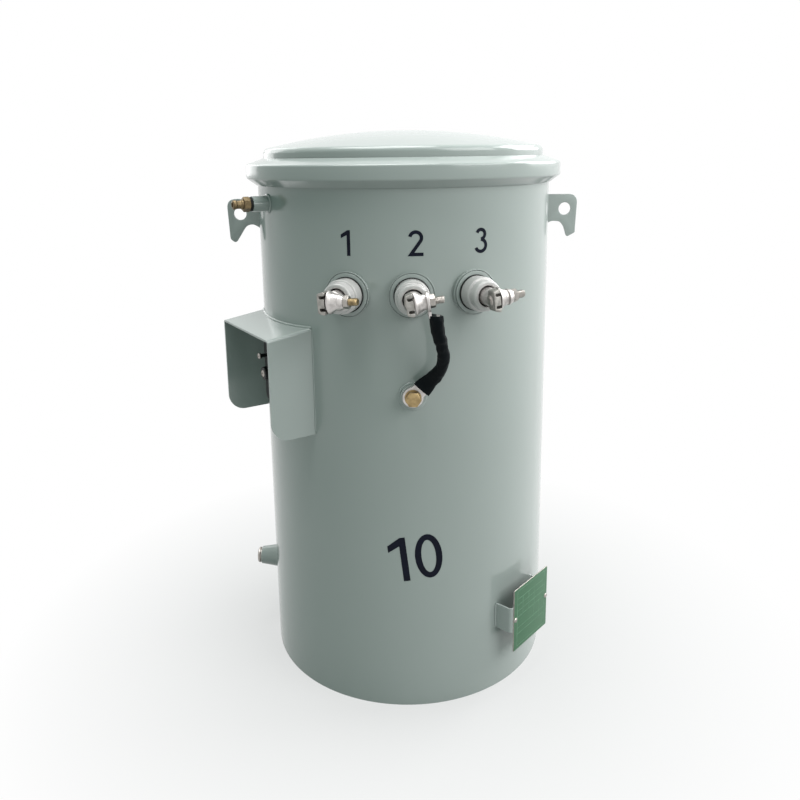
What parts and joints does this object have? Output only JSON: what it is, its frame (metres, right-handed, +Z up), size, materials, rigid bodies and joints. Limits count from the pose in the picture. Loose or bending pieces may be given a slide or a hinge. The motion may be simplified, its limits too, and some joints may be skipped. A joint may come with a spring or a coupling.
{
  "type": "pole mounted transformer",
  "caption": "Round single-phase transformer tank with a domed band-clamped cover, porcelain low-voltage bushings, hooded tap changer, lifting lugs and pole hangers.",
  "frame": {"origin": "the tank's axis at the bottom rim", "axes": "+Z up along the tank's axis, -Y to the low-voltage bushings, +Y to the pole"},
  "size_m": [0.5072, 0.526, 0.766],
  "materials": {
    "tank_paint": "glossy pale grey-green enamel",
    "core_steel": "dull laminated steel, hidden",
    "gasket_rubber": "matt black nitrile rubber",
    "plated_steel": "zinc plated",
    "tinned_bronze": "bright tin plating on bronze",
    "strap_sleeve": "black heat-shrink sleeve",
    "brass": "dull brass",
    "plate_green": "green anodised plate",
    "changer_plastic": "black moulded plastic",
    "porcelain": "pale grey glaze"
  },
  "bodies": {
    "root": {"tank_wall": "tank_paint", "tank_rim": "tank_paint", "tank_bottom": "tank_paint", "core_and_coil": "core_steel", "cover_gasket": "gasket_rubber", "tank_cover": "tank_paint", "cover_band": "tank_paint", "cover_band_bolt": "plated_steel", "lifting_lug_left": "tank_paint", "lifting_lug_right": "tank_paint", "bonding_lug_upper": "tinned_bronze", "bonding_lug_lower": "tinned_bronze", "bonding_strap": "strap_sleeve", "ground_pad": "tank_paint", "ground_bolt": "brass", "nameplate_bracket": "tank_paint", "nameplate": "plate_green", "tap_changer_hood": "tank_paint", "tap_changer_base": "changer_plastic", "tap_changer_knob": "changer_plastic", "tap_changer_pin": "plated_steel", "relief_coupling": "tank_paint", "relief_seal": "gasket_rubber", "relief_valve": "brass", "drain_coupling": "tank_paint", "drain_plug": "tank_paint", "hanger_bracket_upper": "tank_paint", "hanger_bracket_lower": "tank_paint", "bushing_boss_left": "tank_paint", "bushing_gasket_left": "gasket_rubber", "bushing_porcelain_left": "porcelain", "terminal_stud_left": "tinned_bronze", "terminal_keeper_left": "tinned_bronze", "terminal_bolt_left": "plated_steel", "bushing_boss_middle": "tank_paint", "bushing_gasket_middle": "gasket_rubber", "bushing_porcelain_middle": "porcelain", "terminal_stud_middle": "tinned_bronze", "terminal_keeper_middle": "tinned_bronze", "terminal_bolt_middle": "plated_steel", "bushing_boss_right": "tank_paint", "bushing_gasket_right": "gasket_rubber", "bushing_porcelain_right": "porcelain", "terminal_stud_right": "tinned_bronze", "terminal_keeper_right": "tinned_bronze", "terminal_bolt_right": "plated_steel"}
  },
  "joints": []
}
